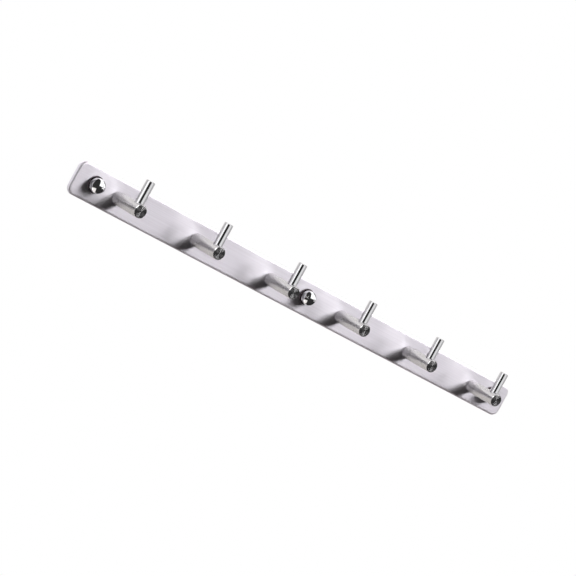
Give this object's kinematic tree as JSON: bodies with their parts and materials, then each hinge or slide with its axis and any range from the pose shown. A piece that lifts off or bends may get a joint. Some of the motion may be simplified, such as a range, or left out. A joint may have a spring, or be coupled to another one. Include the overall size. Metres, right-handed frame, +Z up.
{
  "type": "wall hook rack",
  "caption": "Long steel wall rack: a brushed back plate with a row of round pegs, each with a polished upright pin, fixed by screws under chrome dome caps.",
  "frame": {"origin": "centre of the back plate's back face, on the wall plane", "axes": "+X along the rack towards its right end seen from the room, +Y into the wall, +Z up; the hooks stand out along -Y"},
  "size_m": [0.606, 0.0811, 0.047],
  "materials": {
    "brushed_plate": "stainless steel brushed along its length",
    "satin_peg": "satin turned stainless steel",
    "polished_pin": "polished steel",
    "chrome_trim": "mirror chrome",
    "screw_steel": "plain stainless steel"
  },
  "bodies": {
    "rack": {"back_plate": "brushed_plate", "hook_peg_1": "satin_peg", "hook_peg_2": "satin_peg", "hook_peg_3": "satin_peg", "hook_peg_4": "satin_peg", "hook_peg_5": "satin_peg", "hook_peg_6": "satin_peg", "hook_pin_1": "polished_pin", "hook_pin_2": "polished_pin", "hook_pin_3": "polished_pin", "hook_pin_4": "polished_pin", "hook_pin_5": "polished_pin", "hook_pin_6": "polished_pin", "peg_screw_1": "screw_steel", "peg_screw_2": "screw_steel", "peg_screw_3": "screw_steel", "peg_screw_4": "screw_steel", "peg_screw_5": "screw_steel", "peg_screw_6": "screw_steel", "wall_screw_left": "screw_steel", "wall_screw_centre": "screw_steel", "wall_screw_right": "screw_steel", "cap_collar_left": "chrome_trim", "cap_collar_centre": "chrome_trim", "cap_collar_right": "chrome_trim"},
    "cap_left": {"cap_dome_left": "chrome_trim"},
    "cap_centre": {"cap_dome_centre": "chrome_trim"},
    "cap_right": {"cap_dome_right": "chrome_trim"}
  },
  "joints": [
    {"name": "cap_left_pull", "type": "slide", "parent": "rack", "child": "cap_left", "axis": [0, -1, 0], "range_m": [0, 0.012]},
    {"name": "cap_centre_pull", "type": "slide", "parent": "rack", "child": "cap_centre", "axis": [0, -1, 0], "range_m": [0, 0.012]},
    {"name": "cap_right_pull", "type": "slide", "parent": "rack", "child": "cap_right", "axis": [0, -1, 0], "range_m": [0, 0.012]}
  ]
}
